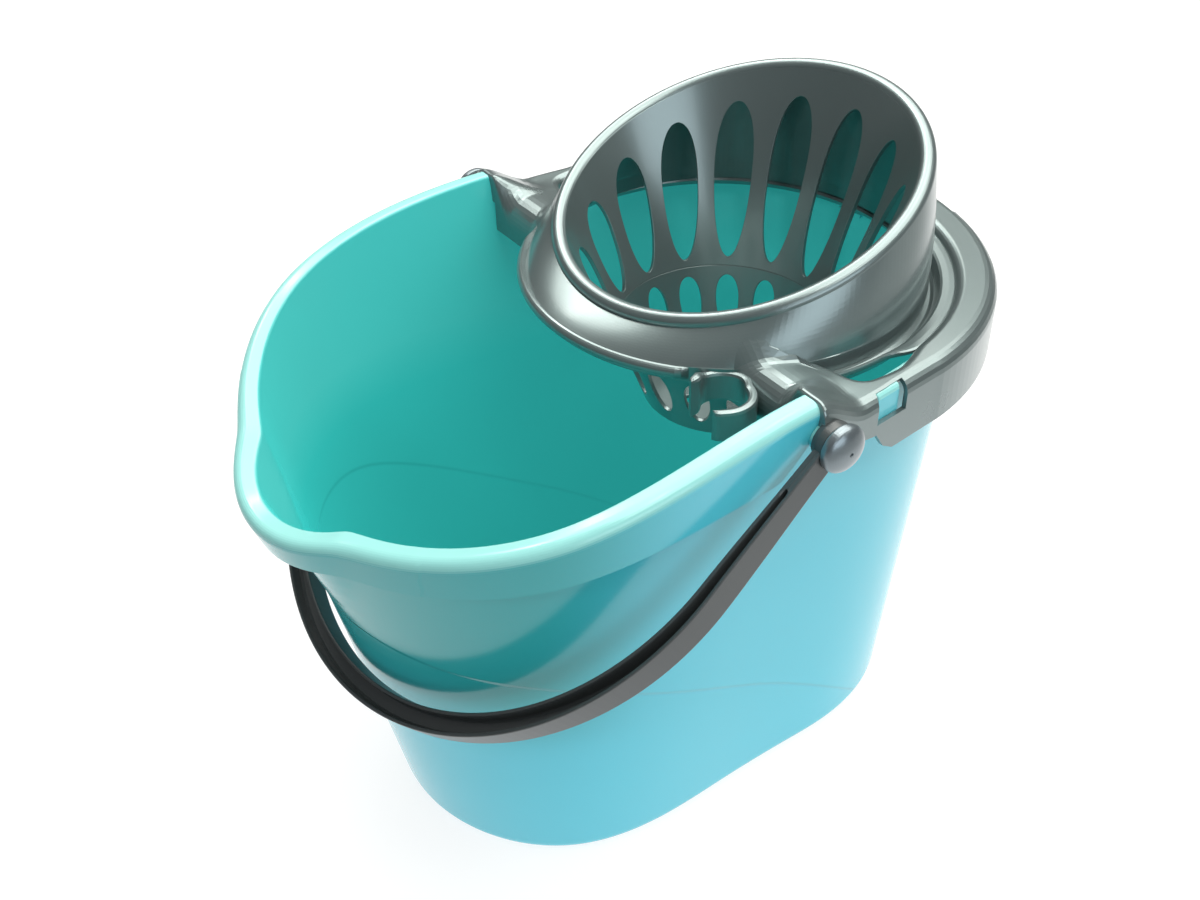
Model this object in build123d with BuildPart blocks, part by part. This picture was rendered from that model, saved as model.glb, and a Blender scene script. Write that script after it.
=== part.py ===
import os
from math import acos, atan, cos, degrees, radians, sin, tan

from build123d import *

os.makedirs("parts", exist_ok=True)

# tub shell, millimetres; Y = 0 is the bail pivot axis, front is -Y
wall = 2.2
floor_z = 4.4
base_r = 97.0
base_front_y = -55.0
base_rear_y = 70.0
base_edge_r = 9.0
outline_steps = 48
reach = 400.0
loft_h = 300.0
top_r = 129.0
top_rear_y = 55.0

# rim: level at the seam with the wringer, falling toward the spout
seam_y = -4.0
rim_z = 298.0
rim_drop = 50.0
rim_reach = 200.0
rim_w = 12.0
rim_round = 6.5
rear_top_z = 282.4
rim_share = 0.9
skirt_h = 17.0
skirt_more = 17.0
mouth_over = 20.0
slab_len = 256.0
slab_steps = 8

# spout: a shallow half cone that dies out down the front wall
spout_low_z = 100.0
spout_low_r = 28.6
spout_low_y = -129.3
spout_top_r = 65.6
spout_top_y = -163.0
spout_crease_r = 9.0
spout_lip_y = -205.0

# bail, its pins and the bosses they sit in
pivot_z = 280.0
boss_r = 8.5
boss_out_x = 146.2
bore_depth = 11.5
pin_r = 5.0
eye_clear = 0.05
eye_r = 9.5
eye_t = 5.2
bail_in_x = 146.6
bail_w = 12.5
bail_h = 12.0
bail_wall = 2.0
bail_web = 2.4
bail_leg = 88.0
bail_block = 26.0
bail_step = 4.0
bail_rest = 39.0
head_gap = 0.3
head_r = 11.0
head_t = 6.0
head_round = 4.6
dimple_r = 1.6
niche_r = 13.5
niche_h = 17.0
niche_len = 62.0

# wringer ring and deck
ring_x = 145.0
ring_r = 138.0
ring_y = 62.0
ring_top_z = 285.0
ring_low_z = 258.0
ring_wall = 2.4
ring_round = 9.0
step_z = 266.0
step_y = 36.0
seam_gap = 0.3
slip = 0.5
ledge_r = 120.0
ledge_y = 57.0
ledge_z = 274.4
ledge_front_y = 26.0
side_slot_in_r = 123.4
side_slot_out_r = 130.6
side_slot_front_y = 30.0
side_slot_rear_y = 75.0
shoulder_x = 128.0
shoulder_y = 24.0
boss_room_x = 128.2
wall_x = 129.0
wall_room = 16.0

# collar drum and slotted cone
tilt = 19.7
crest_z = 328.4
crest_y = 64.6
crest_r = 96.0
crest_bead = 3.6
crest_t = 7.0
drum_z = 282.0
drum_r = 106.0
drum_y = 59.5
drum_bead = 3.0
cone_wall = 2.4
crease_z = 246.0
crease_y = 60.0
crease_r = 59.5
bowl_z = 199.0
bowl_y = 63.0
bowl_r = 46.0
bowl_round = 10.0
drains = 8
drain_r = 4.0
drain_ring = 24.0
slots = 15
slot_w = 17.0
oval_w = 10.0
slot_head = 15.0
slot_foot = 0.05
oval_head = 0.1
oval_foot = 0.2
slot_reach = 6.0
slot_taper = 0.55

# mop clip
clip_x = 92.0
clip_y = -18.5
clip_r = 11.0
clip_t = 3.2
clip_low_z = 268.0
clip_top_z = 284.0
clip_gap = 17.0
clip_turn = 268.0

# snap windows and the tongues behind them
window_w = 20.0
window_low_z = 270.0
window_y = 44.0
window_in = 7.0
window_rear = 78.0
tongue_w = 15.0
tongue_t = 3.8
tongue_low_z = 262.0
tongue_top_z = 284.4
tongue_round = 3.0
tongue_gap = 0.4

# side of the ring, leaning in towards the rear
deck_front_y = seam_y + seam_gap
ring_depth = ring_y - deck_front_y
slant = degrees(acos(ring_r / (ring_x ** 2 + ring_depth ** 2) ** 0.5) - atan(ring_depth / ring_x))


def side_x(y):
    return ring_x - tan(radians(slant)) * (y - deck_front_y)


def rear_spot(turn):
    return turn, (ring_r * cos(radians(turn)), ring_y + ring_r * sin(radians(turn)))


window_spots = [
    (slant, (side_x(window_y), window_y)),
    (180 - slant, (-side_x(window_y), window_y)),
    rear_spot(window_rear),
    rear_spot(180 - window_rear),
]

base_half = [
    (0, base_rear_y + base_r),
    (base_r * sin(radians(30)), base_rear_y + base_r * cos(radians(30))),
    (base_r * sin(radians(60)), base_rear_y + base_r * cos(radians(60))),
    (base_r, base_rear_y),
    (base_r, 40),
    (base_r, -8),
    (base_r, base_front_y),
    (base_r * sin(radians(60)), base_front_y - base_r * cos(radians(60))),
    (base_r * sin(radians(34)), base_front_y - base_r * cos(radians(34))),
    (base_r * sin(radians(16)), base_front_y - base_r * cos(radians(16))),
    (0, base_front_y - base_r),
]
top_half = [
    (0, top_rear_y + top_r),
    (top_r * sin(radians(30)), top_rear_y + top_r * cos(radians(30))),
    (top_r * sin(radians(60)), top_rear_y + top_r * cos(radians(60))),
    (top_r + 0.6, top_rear_y),
    (132.0, 28),
    (134.2, -20),
    (136.4, -84),
    (126.5, -134),
    (94.0, -174),
    (48.0, -198),
    (0, -207),
]


def rim_at(y):
    return rim_z - rim_drop * (max(seam_y - y, 0) / rim_reach) ** 2


def outline_at(z_of):
    half = []
    for (bx, by), (tx, ty) in zip(base_half, top_half):
        rise = z_of(by + (ty - by) * rim_share) / loft_h
        half.append((bx + (tx - bx) * rise, by + (ty - by) * rise))
    return half + [(-x, y) for x, y in half[-2:0:-1]]


def grown(points, grow):
    # the outline moved outward, square to itself
    line = Edge.make_spline([Vector(x, y) for x, y in points], periodic=True)
    moved = []
    for i in range(outline_steps):
        at = line.position_at(i / outline_steps)
        along = line.tangent_at(i / outline_steps)
        out = Vector(along.Y, -along.X)
        moved.append(at + out * (grow if out.dot(at) > 0 else -grow))
    return moved


def spout_at(z):
    rise = (z - spout_low_z) / (loft_h - spout_low_z)
    radius = spout_low_r + (spout_top_r - spout_low_r) * rise
    return radius, spout_low_y + (spout_top_y - spout_low_y) * rise


def shell(grow, low_z, high_z):
    with BuildPart() as body:
        for z in (low_z, high_z):
            with BuildSketch(Plane.XY.offset(z)):
                with BuildLine():
                    Spline(*grown(outline_at(lambda y: z), grow), periodic=True)
                make_face()
        loft()
    return body.part


def spout_cone(grow, high_z):
    with BuildPart() as body:
        for z in (spout_low_z, high_z):
            radius, y = spout_at(z)
            with BuildSketch(Plane.XY.offset(z)):
                with Locations((0, y)):
                    Circle(radius + grow)
        loft()
    return body.part


def side_slab(upper, lower):
    # everything in front of the seam between two heights that follow Y
    steps = [seam_y - slab_len * i / slab_steps for i in range(slab_steps + 1)]
    with BuildPart() as body:
        with BuildSketch(Plane.YZ):
            with BuildLine():
                top = Spline(*[(y, upper(y)) for y in steps])
                low = Spline(*[(y, lower(y)) for y in steps])
                Line(top @ 0, low @ 0)
                Line(top @ 1, low @ 1)
            make_face()
        extrude(amount=reach, both=True)
    return body.part


def skirt_low_at(y):
    return rim_at(y) - skirt_h - skirt_more * max(0, 1 - (seam_y - y) / rim_reach)


def rim_block(width, round_r, lower, top_cut):
    with BuildPart() as body:
        with BuildSketch(Plane.XY.offset(spout_low_z)) as plan:
            with BuildLine():
                Spline(*grown(outline_at(rim_at), width), periodic=True)
            make_face()
            radius, y = spout_at(rim_at(spout_lip_y))
            with Locations((0, y)):
                Circle(radius + width)
            fillet(plan.vertices().filter_by(lambda v: v.Y < spout_top_y), spout_crease_r)
        extrude(amount=loft_h)
        add(side_slab(lambda y: rim_at(y) - top_cut, lower), mode=Mode.INTERSECT)
        brow = body.faces().sort_by(Axis.Z)[-1]
        fillet(brow.edges().filter_by(lambda e: e.center().Y < seam_y - 1), round_r)
    return body.part


with BuildPart() as rim:
    add(rim_block(rim_w - wall, rim_round, skirt_low_at, 0))
    hollow = rim_block(rim_w - 2 * wall, rim_round - wall, lambda y: skirt_low_at(y) - mouth_over, wall)
    add(hollow, mode=Mode.SUBTRACT)
    with BuildSketch(Plane.YZ):
        with Locations((0, pivot_z)):
            Circle(niche_r)
            with Locations(Location((0, 0), bail_rest)):
                with Locations((0, niche_h / 2)):
                    Rectangle(niche_len, niche_len, align=(Align.MAX, Align.MAX))
    extrude(amount=reach, both=True, mode=Mode.SUBTRACT)


def tongue():
    # stands just behind the wall of the ring, on a shelf from the tub
    with BuildPart() as body:
        with Locations((-ring_wall - tongue_gap, 0, 0)):
            Box(tongue_t, tongue_w, tongue_top_z - tongue_low_z, align=(Align.MAX, Align.CENTER, Align.MIN))
            fillet(body.edges().filter_by(Axis.Y).group_by(Axis.Z)[-1].sort_by(Axis.X)[-1], tongue_round)
            Box(ring_x - top_r + ring_round, tongue_w, wall, align=(Align.MAX, Align.CENTER, Align.MIN))
    return body.part


across = Rot(0, 90, 0)

with BuildPart() as tub:
    add(shell(0, 0, loft_h))
    fillet(tub.edges().group_by(Axis.Z)[0], base_edge_r)
    add(spout_cone(0, loft_h))
    add(side_slab(lambda y: reach, rim_at), mode=Mode.SUBTRACT)
    with Locations((0, seam_y, rear_top_z)):
        Box(reach, reach, reach, align=(Align.CENTER, Align.MIN, Align.MIN), mode=Mode.SUBTRACT)
    add(rim.part)
    # pivot bosses
    with Locations((0, 0, pivot_z)):
        with Locations(across):
            Cylinder(boss_r, 2 * boss_out_x)
    # snap tongues seen through the windows of the ring
    for turn, place in window_spots:
        with Locations(Location((*place, tongue_low_z), (0, 0, turn))):
            add(tongue())
    # inside of the shell and spout
    add(shell(-wall, floor_z, loft_h + mouth_over), mode=Mode.SUBTRACT)
    add(spout_cone(-wall, loft_h + mouth_over), mode=Mode.SUBTRACT)
    # pin bores
    for side in (1, -1):
        with Locations((side * (boss_out_x - bore_depth / 2), 0, pivot_z)):
            with Locations(across):
                Cylinder(pin_r, bore_depth, mode=Mode.SUBTRACT)
tub.part.label = "tub"
export_step(tub.part, "parts/tub.step")

# bail in its lowered plane: local X across, local -Y out along the legs
bail_plane = Plane(
    origin=(0, 0, pivot_z),
    x_dir=(1, 0, 0),
    z_dir=(0, -sin(radians(bail_rest)), cos(radians(bail_rest))),
)


def bail_band(inner_x, outer_x):
    for x, mode in ((outer_x, Mode.ADD), (inner_x, Mode.SUBTRACT)):
        with Locations((0, -bail_leg / 2)):
            Rectangle(2 * x, bail_leg, mode=mode)
        with Locations((0, -bail_leg)):
            Circle(x, mode=mode)
    with Locations((0, bail_leg)):
        Rectangle(3 * outer_x, 2 * bail_leg, mode=Mode.SUBTRACT)


bail_out_x = bail_in_x + bail_w
with BuildPart() as bail_handle:
    with BuildSketch(bail_plane.offset(-bail_h / 2)):
        bail_band(bail_in_x, bail_out_x)
    extrude(amount=bail_h)
    with BuildSketch(bail_plane.offset(-bail_h / 2 + bail_web)):
        bail_band(bail_in_x + bail_wall, bail_out_x - bail_wall)
        Rectangle(2 * bail_out_x, 2 * bail_block, mode=Mode.SUBTRACT)
    extrude(amount=bail_h, mode=Mode.SUBTRACT)
    # thin end blocks with round eyes
    for side in (1, -1):
        with BuildSketch(bail_plane.offset(-bail_h)):
            with Locations((side * (bail_in_x + eye_t + bail_w / 2), 0)):
                Rectangle(bail_w, 2 * (bail_block - bail_step))
        extrude(amount=2 * bail_h, mode=Mode.SUBTRACT)
        with Locations((side * (bail_in_x + eye_t / 2), 0, pivot_z)):
            with Locations(across):
                Cylinder(eye_r, eye_t)
                Cylinder(pin_r + eye_clear, eye_t, mode=Mode.SUBTRACT)
bail_handle.part.label = "bail_handle"
export_step(bail_handle.part, "parts/bail_handle.step")

head_x = bail_in_x + eye_t + head_gap


def pivot_pin(side):
    with BuildPart() as pin:
        shank = head_x - (boss_out_x - bore_depth)
        with Locations((side * (head_x - shank / 2), 0, pivot_z)):
            with Locations(across):
                Cylinder(pin_r, shank)
        with Locations((side * (head_x + head_t / 2), 0, pivot_z)):
            with Locations(across):
                Cylinder(head_r, head_t)
        face = pin.faces().sort_by(Axis.X)[-1 if side > 0 else 0]
        fillet(face.edges(), head_round)
        with Locations((side * (head_x + head_t), 0, pivot_z)):
            Sphere(dimple_r, mode=Mode.SUBTRACT)
    return pin.part


pivot_pin_right = pivot_pin(1)
pivot_pin_right.label = "pivot_pin_right"
export_step(pivot_pin_right, "parts/pivot_pin_right.step")
pivot_pin_left = pivot_pin(-1)
pivot_pin_left.label = "pivot_pin_left"
export_step(pivot_pin_left, "parts/pivot_pin_left.step")

crest = Plane(
    origin=(0, crest_y, crest_z),
    x_dir=(1, 0, 0),
    z_dir=(0, -sin(radians(tilt)), cos(radians(tilt))),
)
deck_low_z = ring_top_z - ring_wall


def round_loft(*sections):
    with BuildPart() as body:
        for plane, y, radius in sections:
            with BuildSketch(plane):
                with Locations((0, y)):
                    Circle(radius)
        loft()
    return body.part


def deck_block(inset, low_z, round_r):
    with BuildPart() as body:
        with BuildSketch(Plane.XY.offset(low_z)):
            with Locations((0, ring_y)):
                Circle(ring_r - inset)
            with Locations((0, deck_front_y + inset)):
                Rectangle(2 * (ring_x - inset), ring_wall, align=(Align.CENTER, Align.MIN))
            make_hull()
            with Locations((0, deck_front_y + inset)):
                Rectangle(4 * ring_x, 4 * ring_x, align=(Align.CENTER, Align.MAX), mode=Mode.SUBTRACT)
        extrude(amount=ring_top_z - inset - low_z)
        brow = body.faces().sort_by(Axis.Z)[-1]
        fillet(brow.edges().filter_by(lambda e: e.center().Y > deck_front_y + inset + 1), round_r)
    return body.part


def shoulder(side):
    with BuildPart() as body:
        for y, in_x, high_z in ((deck_front_y, shoulder_x, rim_z), (shoulder_y, ledge_r, ring_top_z)):
            out_x = side_x(y)
            low_z = deck_low_z - ring_round
            with BuildSketch(Plane(origin=(0, y, 0), x_dir=(1, 0, 0), z_dir=(0, -1, 0))) as profile:
                with Locations((side * (in_x + out_x) / 2, (low_z + high_z) / 2)):
                    Rectangle(out_x - in_x, high_z - low_z)
                fillet(profile.vertices().group_by(Axis.Y)[-1], rim_round)
        loft()
        with Locations((0, 0, deck_low_z)):
            hollow = (2 * (ring_x - ring_round), 4 * shoulder_y, 4 * ring_round)
            Box(*hollow, align=(Align.CENTER, Align.CENTER, Align.MAX), mode=Mode.SUBTRACT)
    return body.part


def slot_tool(turn, upper, lower, width, low_trim, high_trim):
    t = radians(turn)
    ends = []
    for plane, y, radius in (upper, lower):
        ends.append(plane.from_local_coords(Vector(radius * cos(t), y + radius * sin(t), 0)))
    high, low = ends
    along = (high - low).normalized()
    tangent = Vector(-sin(t), cos(t), 0)
    middle = low + (high - low) * ((low_trim + 1 - high_trim) / 2)
    length = (high - low).length * (1 - low_trim - high_trim)
    with BuildPart() as tool:
        with BuildSketch(Plane(origin=middle, x_dir=tangent, z_dir=tangent.cross(along))):
            for end, radius in ((1, width / 2), (-1, width / 2 * slot_taper)):
                with Locations((0, end * (length / 2 - radius))):
                    Circle(radius)
            make_hull()
        extrude(amount=slot_reach, both=True)
    return tool.part


drum = (Plane.XY.offset(drum_z), drum_y, drum_r)
drum_in = (Plane.XY.offset(drum_z - cone_wall), drum_y, drum_r - cone_wall)
cone_top = (crest.offset(-crest_t / 2), 0, crest_r)
cone_mid = (Plane.XY.offset(crease_z), crease_y, crease_r)
cone_low = (Plane.XY.offset(bowl_z), bowl_y, bowl_r)
mid_in = (cone_mid[0], crease_y, crease_r - cone_wall)
low_in = (cone_low[0].offset(cone_wall), bowl_y, bowl_r - cone_wall)

# collar drum carrying the slotted cone and its bowl
with BuildPart() as collar:
    add(round_loft(drum, (crest, 0, crest_r + crest_bead)))
    fillet(collar.edges().sort_by(Axis.Z)[-1], crest_bead)
    under_crest = (crest.offset(-crest_t), 0, crest_r + crest_bead - cone_wall)
    add(round_loft(drum_in, under_crest), mode=Mode.SUBTRACT)
    add(round_loft(cone_top, cone_mid))
    add(round_loft(cone_mid, cone_low))
    fillet(collar.edges().group_by(Axis.Z)[0], bowl_round)
    add(round_loft((crest.offset(1), 0, crest_r - cone_wall), mid_in), mode=Mode.SUBTRACT)
    fillet(collar.edges().sort_by(Axis.Z)[-1], crest_bead - cone_wall / 2)
    add(round_loft(mid_in, low_in), mode=Mode.SUBTRACT)
    # drain holes in the floor of the bowl
    with BuildSketch(cone_low[0]):
        with Locations((0, bowl_y)):
            Circle(drain_r)
            with PolarLocations(drain_ring, drains):
                Circle(drain_r)
    extrude(amount=2 * cone_wall, mode=Mode.SUBTRACT)
    # long slots in the cone, short ones below them in the bowl
    tools = []
    for i in range(slots):
        turn = 90 + 360 / slots * i
        rise = crest_z + crest_r * sin(radians(tilt)) * sin(radians(turn)) - crease_z
        tools.append(slot_tool(turn, cone_top, cone_mid, slot_w, slot_foot, slot_head / rise))
        tools.append(slot_tool(turn, cone_mid, cone_low, oval_w, oval_foot, oval_head))
    add(tools, mode=Mode.SUBTRACT)


def behind_arms(radius, low_z, high_z):
    with BuildPart() as body:
        with BuildSketch(Plane.XY.offset(low_z)):
            with Locations((0, ledge_y)):
                Circle(radius)
            with Locations((0, ledge_front_y)):
                Rectangle(4 * radius, 4 * radius, align=(Align.CENTER, Align.MAX), mode=Mode.SUBTRACT)
        extrude(amount=high_z - low_z)
    return body.part


with BuildPart() as wringer:
    add(deck_block(0, ring_low_z, ring_round))
    add(deck_block(ring_wall, ring_low_z - ring_wall, ring_round - ring_wall), mode=Mode.SUBTRACT)
    # skirt and front wall are shallower in front of the windows
    with BuildSketch(Plane.YZ):
        with BuildLine():
            Polyline(
                (seam_y - ring_wall, ring_low_z - ring_wall),
                (step_y + step_z - ring_low_z + ring_wall, ring_low_z - ring_wall),
                (step_y, step_z),
                (seam_y - ring_wall, step_z),
                close=True,
            )
        make_face()
    extrude(amount=2 * ring_x, both=True, mode=Mode.SUBTRACT)
    # saddle shoulders meeting the ends of the rim
    add(shoulder(1))
    add(shoulder(-1))
    # sunk ledge between the ring and the collar
    add(behind_arms(ledge_r + ring_wall, ledge_z - ring_wall, deck_low_z + ring_wall / 2))
    add(behind_arms(ledge_r, ledge_z, ring_top_z + ring_wall), mode=Mode.SUBTRACT)
    with BuildSketch(Plane.XY.offset(ring_low_z - ring_wall)):
        with Locations((0, drum_y)):
            Circle(drum_r - ring_wall / 2)
    extrude(amount=ring_top_z - ring_low_z + 2 * ring_wall, mode=Mode.SUBTRACT)
    # curved slots in the ring, above the tub wall
    with BuildSketch(Plane.XY.offset(deck_low_z - 1)):
        with Locations((0, ledge_y)):
            Circle(side_slot_out_r)
            Circle(side_slot_in_r, mode=Mode.SUBTRACT)
        for y, edge in ((side_slot_front_y, Align.MAX), (side_slot_rear_y, Align.MIN)):
            with Locations((0, y)):
                Rectangle(4 * ring_x, 4 * ring_x, align=(Align.CENTER, edge), mode=Mode.SUBTRACT)
    extrude(amount=ring_wall + 2, mode=Mode.SUBTRACT)
    # rolled bead round the foot of the collar
    with BuildSketch(Plane.XY.offset(drum_z - drum_bead)):
        with Locations((0, drum_y)):
            Circle(drum_r + drum_bead)
            Circle(drum_r - 0.8 * cone_wall, mode=Mode.SUBTRACT)
    extrude(amount=2 * drum_bead)
    add(collar.part)
    # spring clip for a mop pole, standing on the front wall of the right arm
    with BuildSketch(Plane.XY.offset(clip_low_z)):
        with Locations((clip_x, clip_y)):
            Circle(clip_r + clip_t)
            Rectangle(2 * clip_t, deck_front_y + ring_wall / 2 - clip_y, align=(Align.CENTER, Align.MIN))
            with Locations(Location((0, 0), clip_turn)):
                Rectangle(2 * clip_r, clip_gap, align=(Align.MIN, Align.CENTER), mode=Mode.SUBTRACT)
    extrude(amount=clip_top_z - clip_low_z)
    with BuildSketch(Plane.XY.offset(clip_low_z)):
        with Locations((clip_x, clip_y)):
            Circle(clip_r)
    extrude(amount=2 * (clip_top_z - clip_low_z), mode=Mode.SUBTRACT)
    for side in (1, -1):
        # room for the tub wall and the pivot boss below the deck
        with Locations((side * wall_x, deck_front_y, deck_low_z)):
            notch = (wall_room, 4 * ring_wall, ring_top_z)
            Box(*notch, align=(Align.CENTER, Align.CENTER, Align.MAX), mode=Mode.SUBTRACT)
        with BuildSketch(Plane.YZ.offset(side * ring_x)):
            with Locations((0, pivot_z)):
                Circle(boss_r + slip)
                Rectangle(2 * (boss_r + slip), pivot_z, align=(Align.CENTER, Align.MAX))
        extrude(amount=ring_x - boss_room_x, both=True, mode=Mode.SUBTRACT)
    # snap windows, open over the shoulder of the ring
    for turn, place in window_spots:
        with Locations(Location((*place, window_low_z), (0, 0, turn))):
            with Locations((-window_in, 0, 0)):
                Box(ring_x, window_w, ring_x, align=(Align.MIN, Align.CENTER, Align.MIN), mode=Mode.SUBTRACT)
wringer.part.label = "wringer"
export_step(wringer.part, "parts/wringer.step")
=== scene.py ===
import math

import bpy
import numpy as np
from mathutils import Matrix, Vector


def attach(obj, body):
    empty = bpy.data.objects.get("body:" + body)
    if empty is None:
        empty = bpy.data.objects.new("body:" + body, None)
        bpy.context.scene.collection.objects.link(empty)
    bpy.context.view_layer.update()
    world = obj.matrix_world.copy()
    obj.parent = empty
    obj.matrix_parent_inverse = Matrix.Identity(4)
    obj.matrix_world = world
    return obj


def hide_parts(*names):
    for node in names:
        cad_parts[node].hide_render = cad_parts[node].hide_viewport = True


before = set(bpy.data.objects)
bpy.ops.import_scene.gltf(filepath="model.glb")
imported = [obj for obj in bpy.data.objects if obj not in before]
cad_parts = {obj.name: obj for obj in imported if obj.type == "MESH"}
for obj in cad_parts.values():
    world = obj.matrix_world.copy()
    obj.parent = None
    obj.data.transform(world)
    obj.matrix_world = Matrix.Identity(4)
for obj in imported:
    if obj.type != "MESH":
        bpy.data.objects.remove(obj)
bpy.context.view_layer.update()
print("frame loaded:", sorted(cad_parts))

scene = bpy.context.scene
scene.view_settings.view_transform = "Standard"
scene.view_settings.look = "None"


# node helpers: an output is linked to the socket, a plain value is set on it
def feed(tree, socket, value):
    if isinstance(value, bpy.types.NodeSocket):
        tree.links.new(value, socket)
    else:
        socket.default_value = value


def mathNode(tree, operation, *values, clamp=False):
    node = tree.nodes.new("ShaderNodeMath")
    node.operation = operation
    node.use_clamp = clamp
    for socket, value in zip(node.inputs, values):
        feed(tree, socket, value)
    return node.outputs[0]


def vectorNode(tree, operation, *values):
    node = tree.nodes.new("ShaderNodeVectorMath")
    node.operation = operation
    for socket, value in zip(node.inputs, values):
        feed(tree, socket, value)
    return node.outputs["Value" if operation == "DOT_PRODUCT" else "Vector"]


def rangeNode(tree, value, ends, kind="SMOOTHSTEP", to=(0.0, 1.0)):
    node = tree.nodes.new("ShaderNodeMapRange")
    node.interpolation_type = kind
    feed(tree, node.inputs["Value"], value)
    for label, number in zip(("From Min", "From Max", "To Min", "To Max"), (*ends, *to)):
        node.inputs[label].default_value = number
    return node.outputs[0]


def mixNode(tree, factor, a, b, blend="MIX"):
    node = tree.nodes.new("ShaderNodeMix")
    node.data_type = "RGBA"
    node.blend_type = blend
    for label, value in (("Factor", factor), ("A", a), ("B", b)):
        feed(tree, node.inputs[label], value)
    return node.outputs["Result"]


def noiseNode(tree, place, scale, detail):
    node = tree.nodes.new("ShaderNodeTexNoise")
    for label, value in (("Vector", place), ("Scale", scale), ("Detail", detail)):
        feed(tree, node.inputs[label], value)
    return node.outputs["Fac"]


def bumpNode(tree, height, strength, depth):
    node = tree.nodes.new("ShaderNodeBump")
    for label, value in (("Height", height), ("Strength", strength), ("Distance", depth)):
        feed(tree, node.inputs[label], value)
    return node


def splitNode(tree, vector):
    node = tree.nodes.new("ShaderNodeSeparateXYZ")
    tree.links.new(vector, node.inputs[0])
    return node.outputs


def objectCoord(tree):
    return tree.nodes.new("ShaderNodeTexCoord").outputs["Object"]


def groupNode(tree, group):
    node = tree.nodes.new("ShaderNodeGroup")
    node.node_tree = group
    return node


# shared effect groups
def newGroup(name, inputs, outputs):
    tree = bpy.data.node_groups.new(name, "ShaderNodeTree")
    for label, kind, value in inputs:
        socket = tree.interface.new_socket(name=label, in_out="INPUT", socket_type="NodeSocket" + kind)
        socket.default_value = value
    for label, kind in outputs:
        tree.interface.new_socket(name=label, in_out="OUTPUT", socket_type="NodeSocket" + kind)
    return tree, tree.nodes.new("NodeGroupInput").outputs, tree.nodes.new("NodeGroupOutput").inputs


mottle = dict(scale=9.0, detail=5.0, fineDetail=2.0)


def makeMouldedSkin():  # mottled colour, cloudy gloss and a fine bump, as injection moulding leaves
    tree, given, made = newGroup(
        "mouldedSkin",
        [("Colour", "Color", (0.5, 0.5, 0.5, 1)), ("Vary", "Float", 0.05), ("Rough", "Float", 0.35),
         ("Cloud", "Float", 0.08), ("Grain Size", "Float", 900.0)],
        [("Colour", "Color"), ("Rough", "Float"), ("Height", "Float")],
    )
    link = tree.links.new
    coord = objectCoord(tree)
    swing = mathNode(tree, "SUBTRACT", noiseNode(tree, coord, mottle["scale"], mottle["detail"]), 0.5)
    tint = tree.nodes.new("ShaderNodeHueSaturation")
    link(given["Colour"], tint.inputs["Color"])
    link(mathNode(tree, "MULTIPLY_ADD", swing, given["Vary"], 1.0), tint.inputs["Value"])
    link(tint.outputs[0], made["Colour"])
    link(mathNode(tree, "MULTIPLY_ADD", swing, given["Cloud"], given["Rough"]), made["Rough"])
    link(noiseNode(tree, coord, given["Grain Size"], mottle["fineDetail"]), made["Height"])
    return tree


# where the tub's painted shade and light go: cosines for the way a wall faces, metres for a place
tubPaintedLightZones = dict(middleY=-0.02, faceIn=(-0.25, -0.75), floor=(0.03, 0.006), faceUp=(-0.2, 0.35), rim=(0.19, 0.22),
                spare=0.8, front=(-0.06, -0.145), upper=(0.09, 0.17))


def makePaintedLightMasks():  # painted light and shade masks: Mask, the walls that face the tub's middle and its floor, for a shaded inside colour and a painted glow; the second output, painted light on the rim's up-facing top; the third, painted shade on the upper front wall under the rim and bail
    zone = tubPaintedLightZones
    tree, given, made = newGroup("insideMask", [("Middle Y", "Float", zone["middleY"])],
                                 [("Mask", "Float"), ("Top", "Float"), ("PaintedShade", "Float")])
    link = tree.links.new
    place = splitNode(tree, objectCoord(tree))
    normal = tree.nodes.new("ShaderNodeNewGeometry").outputs["Normal"]
    up = splitNode(tree, normal)["Z"]
    flat = tree.nodes.new("ShaderNodeCombineXYZ")
    link(place["X"], flat.inputs["X"])
    link(mathNode(tree, "SUBTRACT", place["Y"], given["Middle Y"]), flat.inputs["Y"])
    away = vectorNode(tree, "NORMALIZE", flat.outputs[0])
    wall = rangeNode(tree, vectorNode(tree, "DOT_PRODUCT", away, normal), zone["faceIn"])
    low = rangeNode(tree, place["Z"], zone["floor"], "LINEAR")
    mask = mathNode(tree, "MAXIMUM", wall, mathNode(tree, "MULTIPLY", up, low, clamp=True))
    rim = rangeNode(tree, place["Z"], zone["rim"], "LINEAR")
    rimOut = mathNode(tree, "MULTIPLY", rim, mathNode(tree, "MULTIPLY_ADD", mask, -zone["spare"], 1.0))
    front = rangeNode(tree, place["Y"], zone["front"])
    link(mask, made["Mask"])
    # painted light: the rim's up-facing top made paler
    link(mathNode(tree, "MULTIPLY", rangeNode(tree, up, zone["faceUp"]), rimOut), made["Top"])
    # painted shade: the upper front wall, under the rim and bail
    link(mathNode(tree, "MULTIPLY", front, rangeNode(tree, place["Z"], zone["upper"])), made["PaintedShade"])
    return tree


wallLine = dict(high=172.0, fall=0.65, behind=125.0, soft=30.0, bend=0.0017, wide=1.2)  # mm


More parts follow.
